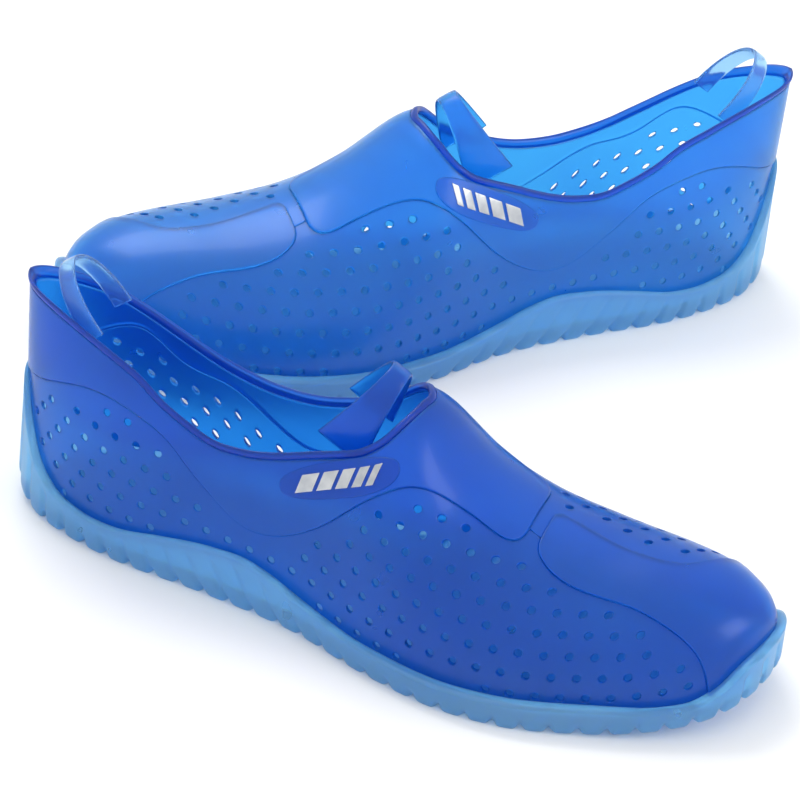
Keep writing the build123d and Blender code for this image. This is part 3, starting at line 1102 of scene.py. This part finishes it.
@dataclass
class Outsole:
    """The paler cup: lugged tread, ribbed and scalloped wall, rolled lip, ribbed footbed."""

    last: Last
    skin: GirthChart
    sections: int = 640
    pitch: float = 9.8
    rib_depth: float = 0.8
    rib_lean: float = 0.55
    scallop_rise: float = 1.5
    scallop_in: float = 1.1
    roll: tuple[float, float] = (1.5, 4.0)
    groove_depth: float = 1.8
    footbed_rib: float = 0.45
    wall_inset: float = 0.7
    lip_rise: float = 0.7
    lean_zone: tuple[float, float, float, float] = (20, 80, 150, 190)
    lip_fade: tuple[float, float] = (-5.0, -1.5)
    tall_wall: tuple[float, float] = (9.0, 13.0)
    lug_fade: tuple[float, float] = (1.0, 6.0)
    scallop_height: float = 5.0
    roll_rows: int = 5
    wall_rows: int = 18
    inner_rows: int = 10
    bed_columns: int = 34
    tread_columns: int = 42

    def _notch(self, phase: np.ndarray, sharp: float) -> np.ndarray:
        """1 in a groove and 0 on the lugs: a raised cosine to a high power, once a pitch."""
        return (0.5 + 0.5 * np.cos(tau * phase)) ** sharp

    def _wall(self, t: np.ndarray, medial: bool) -> tuple[np.ndarray, np.ndarray]:
        """One side from the roll under the sole up to the lip, and the arc length along it.

        Each rib is a groove pressed into the wall along a leaning line; the notches between the
        lugs pull the rolled edge in and up. Ribs lean only within lean_zone, stop short of the
        lip over lip_fade and show only where the wall is tall_wall high.

        Args:
            t: the sections.
            medial: whether this is the instep side.

        Returns:
            Wall points as (sections, rows, 3) and the length along the wall at each section.
        """
        last = self.last
        edge = last.along(last.medial_edge if medial else last.lateral_edge, t)
        x = last.nominal(t)
        run = np.concatenate([[0], np.cumsum(np.hypot(np.diff(x), np.diff(edge)))])
        dx, dy = np.gradient(x, t), np.gradient(edge, t)
        size = np.hypot(dx, dy)
        out = np.stack([dy, -dx], -1) / size[:, None] * (-1 if medial else 1)
        out[:, :] = np.where(((out[:, 1] > 0) == medial)[:, None], out, -out)
        low = last.underside(x)
        top = through(last.cup, x)
        in_step, up_step = self.roll
        turns = np.linspace(0, pi / 2, self.roll_rows + 1)[:-1]
        rise = np.concatenate([up_step * (1 - np.cos(turns)), np.full(self.wall_rows, up_step)])
        pull = np.concatenate([in_step * (1 - np.sin(turns)), np.zeros(self.wall_rows)])
        part = np.concatenate([np.zeros(self.roll_rows), np.linspace(0, 1, self.wall_rows)])
        z = low[:, None] + rise + (top - low - up_step)[:, None] * part
        above = z - low[:, None]
        start, full, fade, end = self.lean_zone
        leaning = self.rib_lean * smooth_step(x, start, full) * (1 - smooth_step(x, fade, end))
        phase = (run[:, None] + leaning[:, None] * above) / self.pitch
        groove = self._notch(phase, 5)
        below_lip = 1 - smooth_step(z - top[:, None], *self.lip_fade)
        tall = smooth_step(top - low, *self.tall_wall)[:, None]
        foot = 1 - smooth_step(above, *self.lug_fade)
        pressed = self.rib_depth * groove * below_lip * tall + self.scallop_in * groove * foot
        z = z + self.scallop_rise * groove * (1 - smooth_step(above, 0.0, self.scallop_height))
        shift = -(pull + pressed)[:, :, None] * out[:, None, :]
        plan = np.stack([x, edge], -1)[:, None, :] + shift
        return np.concatenate([plan, z[:, :, None]], axis=2), run

    def build(self) -> Skin:
        """The whole cup as one closed loop of a section carried from heel to toe.

        Round the loop: up the outer wall, over its lip, down inside, across the footbed, up
        inside, over the other lip, down the inner wall and back under the tread.

        Returns:
            The closed cup.
        """
        last, n = self.last, self.sections
        t = np.linspace(0, 1, n)
        x = last.nominal(t)
        outer_wall, outer_run = self._wall(t, medial=False)
        inner_wall, inner_run = self._wall(t, medial=True)
        ends = [0, -1]
        outer_wall[ends] = inner_wall[ends] = (outer_wall[ends] + inner_wall[ends]) / 2
        foot = self.skin.turn_at_height(t, through(last.cup, x))
        down = np.linspace(1, 0, self.inner_rows)
        outside = last.point(t[:, None], foot[:, None] * down, self.wall_inset)
        inside_wall = last.point(t[:, None], pi - foot[:, None] * down, self.wall_inset)
        across = np.linspace(0, 1, self.bed_columns)[1:-1]
        share = across[None, :, None]
        bed = outside[:, -1:] * (1 - share) + inside_wall[:, -1:] * share
        mean_run = outer_run[:, None] * (1 - across) + inner_run[:, None] * across
        fade = np.sin(pi * across) ** 0.5 * (np.sin(pi * t) ** 0.5)[:, None]
        bed[:, :, 2] += self.footbed_rib * fade * (1 - 2 * self._notch(mean_run / self.pitch, 3))
        share_under = np.linspace(0, 1, self.tread_columns)[1:-1]
        left, right = outer_wall[:, 0], inner_wall[:, 0]
        share = share_under[None, :, None]
        under = right[:, None] * (1 - share) + left[:, None] * share
        under_run = inner_run[:, None] * (1 - share_under) + outer_run[:, None] * share_under
        low = last.underside(x)
        groove = self._notch(under_run / self.pitch, 4)
        deep = self.groove_depth * np.clip(np.sin(pi * t) * 4, 0, 1)[:, None]
        middle = smooth_step(np.abs(share_under - 0.5), 0.02, 0.06)
        under[:, :, 2] = low[:, None] + np.maximum(deep * middle, self.scallop_rise) * groove
        loop = np.concatenate([
            outer_wall, self._lip(outer_wall[:, -1], outside[:, 0]), outside, bed, inside_wall[:, ::-1],
            self._lip(inside_wall[:, 0], inner_wall[:, -1]), inner_wall[:, ::-1], under,
        ], axis=1)
        return Skin(loop.reshape(-1, 3), grid_faces(n, loop.shape[1], wrap_columns=True))

    def _lip(self, start: np.ndarray, end: np.ndarray) -> np.ndarray:
        """A rounded top between two edges: their chord, lifted by a half sine.

        Args:
            start: (sections, 3) points of one edge.
            end: the same of the other edge.

        Returns:
            (sections, 5, 3) points between them.
        """
        share = np.linspace(0, 1, 7)[None, 1:-1, None]
        points = start[:, None] * (1 - share) + end[:, None] * share
        points[:, :, 2] += self.lip_rise * np.sin(pi * share[:, :, 0])
        return points


@dataclass
class PullLoop:
    """A flat band bent into an arch; its width tapers from the feet to the top."""

    name: str
    body: str
    foot: tuple[float, float, float]
    half_span: float
    rise: float
    foot_width: float
    top_width: float
    lean: float
    thickness: float = 1.7
    leg: float = 2.0
    bend_zone: tuple[float, float] = (-1.0, 7.0)

    def build(self) -> Skin:
        """A squared ring carried along the half ellipse, tilted by lean about its feet.

        Returns:
            The closed band.
        """
        a = np.linspace(0, pi, 73)
        half, rise = self.half_span - self.thickness / 2, self.rise - self.thickness / 2
        legs = np.linspace(-self.leg, 0, 5)[:-1]
        path = np.concatenate([
            np.stack([np.full(4, half), legs], -1),
            np.stack([half * np.cos(a), rise * np.sin(a)], -1),
            np.stack([np.full(4, -half), legs[::-1]], -1),
        ])
        normal = left_normals(path, closed=False)
        up = np.clip((path[:, 1] + self.leg) / (self.rise + self.leg), 0, 1)
        width = self.foot_width + (self.top_width - self.foot_width) * up
        ring_a, ring_b = superellipse(24, 3.2)
        wide, thick = ring_a * 0.5, ring_b * self.thickness / 2
        x = width[:, None] * wide
        y = path[:, 0, None] + normal[:, 0, None] * thick
        z = path[:, 1, None] + normal[:, 1, None] * thick
        body = np.stack([x, y, z], -1)
        ends = [body[:1], body[-1:]]
        caps = [np.broadcast_to(end.mean(1, keepdims=True), end.shape) for end in ends]
        soft = [0.5 * end + 0.5 * cap for end, cap in zip(ends, caps)]
        rings = np.concatenate([caps[0], soft[0], body, soft[1], caps[1]])
        tilt = radians(self.lean)
        turned = np.stack([
            rings[..., 0] * cos(tilt) + rings[..., 2] * sin(tilt),
            rings[..., 1],
            rings[..., 2] * cos(tilt) - rings[..., 0] * sin(tilt),
        ], -1) + np.array(self.foot)
        return Skin(turned.reshape(-1, 3), grid_faces(len(rings), 24, wrap_columns=True))

    def dress(self, stance: Stance, slot: str, finish: bpy.types.Material) -> None:
        """Makes the band and bakes its placement into its mesh.

        Args:
            stance: where the shoe stands.
            slot: the record's material slot.
            finish: the material.
        """
        piece = stance.make_piece(self.name, self.build(), self.body, slot, finish)
        word = stance.side.word
        foot = np.array(self.foot)
        up = np.array((sin(radians(self.lean)), 0, cos(radians(self.lean))))
        start, end = stance.place(np.array([foot + up * height for height in self.bend_zone]))
        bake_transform(piece)


@dataclass
class Badge:
    """The oval plate on the saddle's outer side and its plain slanted bars."""

    chart: SideChart
    centre: tuple[float, float] = (127.5, 60.5)
    tilt: float = 25.0
    across: float = 46.0
    height: float = 11.2
    plate_rise: float = 0.7
    mark_rise: float = 0.95
    bars: Line = ((-15.5, 7.0), (-7.0, 6.0), (0.5, 5.0), (7.0, 4.0), (12.5, 3.0))
    bar_height: float = 5.5
    bar_slant: float = 2.0

    def _placed(self, shape: np.ndarray) -> np.ndarray:
        """A shape drawn about the badge's middle, tilted up towards the toe and moved into place.

        Args:
            shape: (n, 2) points.

        Returns:
            (n, 2) points of the side chart.
        """
        a = radians(self.tilt)
        turn = np.array([[cos(a), sin(a)], [-sin(a), cos(a)]])
        return shape @ turn + np.array(self.centre)

    def plate(self) -> Skin:
        """A squared oval, raised from the saddle.

        Returns:
            The plate's closed shell.
        """
        c, s = superellipse(90, 2.6)
        oval = np.stack([c * self.across / 2, s * self.height / 2], -1)
        border = resampled(self._placed(oval), 1.3, closed=True)
        cutter = ShellCutter(self.chart, -self.plate_rise, -0.05, round_over=0.3, grain=2.2)
        return cutter.cut(Outline([border], closed=True))

    def marks(self) -> Skin:
        """The bars: slanted boards with rounded edges.

        Returns:
            All the bars as one mesh.
        """
        whole = Skin(np.zeros((0, 3)), [])
        tall, slant = self.bar_height / 2, self.bar_slant
        for place, wide in self.bars:
            board = np.array([(place - slant, -tall), (place - slant + wide, -tall),
                              (place + slant + wide, tall), (place + slant, tall)])
            border = resampled(self._placed(board), 0.5, closed=True)
            cutter = ShellCutter(self.chart, -self.mark_rise, -self.plate_rise - 0.02,
                                 round_over=0.1, grain=1.2, seam=0.05)
            whole = whole.joined(cutter.cut(Outline([border], closed=True)))
        return whole


@dataclass
class Shoe:
    """One shoe's pieces, each built once and stood for both sides."""

    last: Last = field(default_factory=Last)

    def skins(self) -> dict[str, Skin]:
        """Every piece of the shoe's main shell.

        Returns:
            Meshes by node name.
        """
        skin = GirthChart(self.last, radians(20))
        upper = Upper(self.last, skin, ZoneEdges(self.last, skin))
        badge = Badge(SideChart(skin))
        return {
            "outsole": Outsole(self.last, skin).build(),
            "lateral_vent_panel": upper.vent(medial=False),
            "medial_vent_panel": upper.vent(medial=True),
            "saddle": upper.saddle(),
            "toe_guard": upper.guard(),
            "collar_rim": upper.rim(),
            "badge_plate": badge.plate(),
            "badge_mark": badge.marks(),
        }

    def loops(self) -> list[PullLoop]:
        """The two pull loops."""
        return [
            PullLoop("heel_pull_loop", "heel_loop", foot=(28, 0, 78), half_span=12.8, rise=24,
                     foot_width=8, top_width=7, lean=-40),
            PullLoop("instep_pull_loop", "instep_loop", foot=(124, -1.5, 67), half_span=15.0, rise=29,
                     foot_width=19, top_width=7, lean=27),
        ]


# ---- the studio -----------------------------------------------------------------------------------


@dataclass
class Studio:
    """White floor, white surroundings, soft lamps and a long lens."""

    camera_place: tuple[float, float, float] = (-0.0034, -1.4835, 1.066)
    pitch: float = 35.2
    roll: float = 6.27
    lens: float = 226.8
    sensor: float = 36.0
    lamps_aim: tuple[float, float, float] = (0, 0, 0.04)
    floor_half: float = 6.0

    def camera(self) -> None:
        """Looks along +y, down by pitch, rolled about its own line of sight."""
        down, roll = radians(self.pitch), radians(self.roll)
        ahead = np.array((0, cos(down), -sin(down)))
        up = np.array((0, sin(down), cos(down)))
        right = np.array((1.0, 0, 0))
        across = cos(roll) * right + sin(roll) * up
        above = -sin(roll) * right + cos(roll) * up
        data = bpy.data.cameras.new("camera")
        data.lens, data.sensor_width = self.lens, self.sensor
        data.clip_start, data.clip_end = 0.05, 50.0
        camera = bpy.data.objects.new("camera", data)
        matrix = Matrix(np.stack([across, above, -ahead], 1).tolist()).to_4x4()
        matrix.translation = self.camera_place
        camera.matrix_world = matrix
        bpy.context.scene.collection.objects.link(camera)
        bpy.context.scene.camera = camera

    def lamp(self, name: str, place: tuple[float, float, float], size: float, power: float) -> None:
        """A square soft lamp that faces the shoes.

        Args:
            name: the lamp's name.
            place: where it stands, in metres.
            size: the length of its side.
            power: in watts.
        """
        data = bpy.data.lights.new(name, "AREA")
        data.size, data.energy = size, power
        lamp = bpy.data.objects.new(name, data)
        lamp.location = place
        lamp.rotation_mode = "QUATERNION"
        lamp.rotation_quaternion = (Vector(self.lamps_aim) - Vector(place)).to_track_quat("-Z", "Y")
        bpy.context.scene.collection.objects.link(lamp)

    def build(self) -> None:
        """Sets up the camera, the surroundings, the lamps and the floor."""
        self.camera()
        scene = bpy.context.scene
        world = bpy.data.worlds.new("surroundings")
        world.use_nodes = True
        world.node_tree.nodes["Background"].inputs[0].default_value = (1, 1, 1, 1)
        world.node_tree.nodes["Background"].inputs[1].default_value = 1.0
        scene.world = world
        scene.view_settings.view_transform = "Standard"
        self.lamp("key_lamp", (-0.5, 0.9, 1.6), 0.9, 14)
        self.lamp("side_lamp", (1.4, -0.6, 1.1), 0.7, 6)
        mesh = bpy.data.meshes.new("floor")
        half = self.floor_half
        corners = [(-half, -half, 0), (half, -half, 0), (half, half, 0), (-half, half, 0)]
        mesh.from_pydata(corners, [], [(0, 1, 2, 3)])
        mesh.materials.append(Paper().make())
        floor = bpy.data.objects.new("floor", mesh)
        scene.collection.objects.link(floor)


def finishes(side: Side) -> dict[str, bpy.types.Material]:
    """The finish of each material slot; the left shoe's materials are paler lit copies of the right shoe's,
    painted light standing in for more light on that shoe.

    Args:
        side: which shoe.

    Returns:
        Materials by slot.
    """
    # painted light: at 1 the left shoe's colours, stain and stain density are made paler, as if more light
    # fell on it; both shoes are one material
    painted_light_share = 0.0 if side is Side.RIGHT else 1.0
    body = dict(stain=(0.1 + 0.08 * painted_light_share, 0.48 + 0.08 * painted_light_share, 0.92, 1), clearness=0.88)
    upper = (0.03 + 0.04 * painted_light_share, 0.34 + 0.16 * painted_light_share, 0.88 + 0.08 * painted_light_share, 1)
    upper_deep = (0.02 + 0.04 * painted_light_share, 0.27 + 0.15 * painted_light_share, 0.8 + 0.12 * painted_light_share, 1)
    word = side.word
    made = {
        "blue_upper": SoftPlastic(f"blue_upper_{word}", upper, upper_deep,
                                  stain_density=120 - 50 * painted_light_share, **body),
        "blue_rim": SoftPlastic(f"blue_rim_{word}", (0.02, 0.22, 0.76, 1), (0.015, 0.18, 0.7, 1),
                                stain_density=240, **body),
        "pale_blue_sole": SoftPlastic(f"pale_blue_sole_{word}", (0.3, 0.7, 0.99, 1), (0.23, 0.63, 0.98, 1),
                                      stain=(0.15, 0.55, 0.92, 1), stain_density=24, clearness=0.72),
        "pale_blue_loop": SoftPlastic(f"pale_blue_loop_{word}", (0.42, 0.72, 0.98, 1), (0.36, 0.66, 0.96, 1),
                                      stain=(0.2, 0.55, 0.92, 1), stain_density=60, clearness=0.9,
                                      roughness=0.2),
        "silver_print": SilverPrint(f"silver_print_{word}"),
    }
    return {slot: finish.make() for slot, finish in made.items()}


SLOTS = {
    "outsole": "pale_blue_sole", "lateral_vent_panel": "blue_upper", "medial_vent_panel": "blue_upper",
    "saddle": "blue_upper", "toe_guard": "blue_upper", "collar_rim": "blue_rim",
    "badge_plate": "blue_upper", "badge_mark": "silver_print",
    "heel_pull_loop": "pale_blue_loop", "instep_pull_loop": "blue_upper",
}


def main() -> None:
    logging.basicConfig(level=logging.INFO, format="%(message)s")
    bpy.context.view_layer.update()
    Studio().build()
    shoe = Shoe()
    skins = shoe.skins()
    for side in Side:
        stance, dressed = Stance(side), finishes(side)
        for name, skin in skins.items():
            stance.make_piece(name, skin, "shoe", SLOTS[name], dressed[SLOTS[name]])
        for loop in shoe.loops():
            loop.dress(stance, SLOTS[loop.name], dressed[SLOTS[loop.name]])


if __name__ == "__main__":
    main()
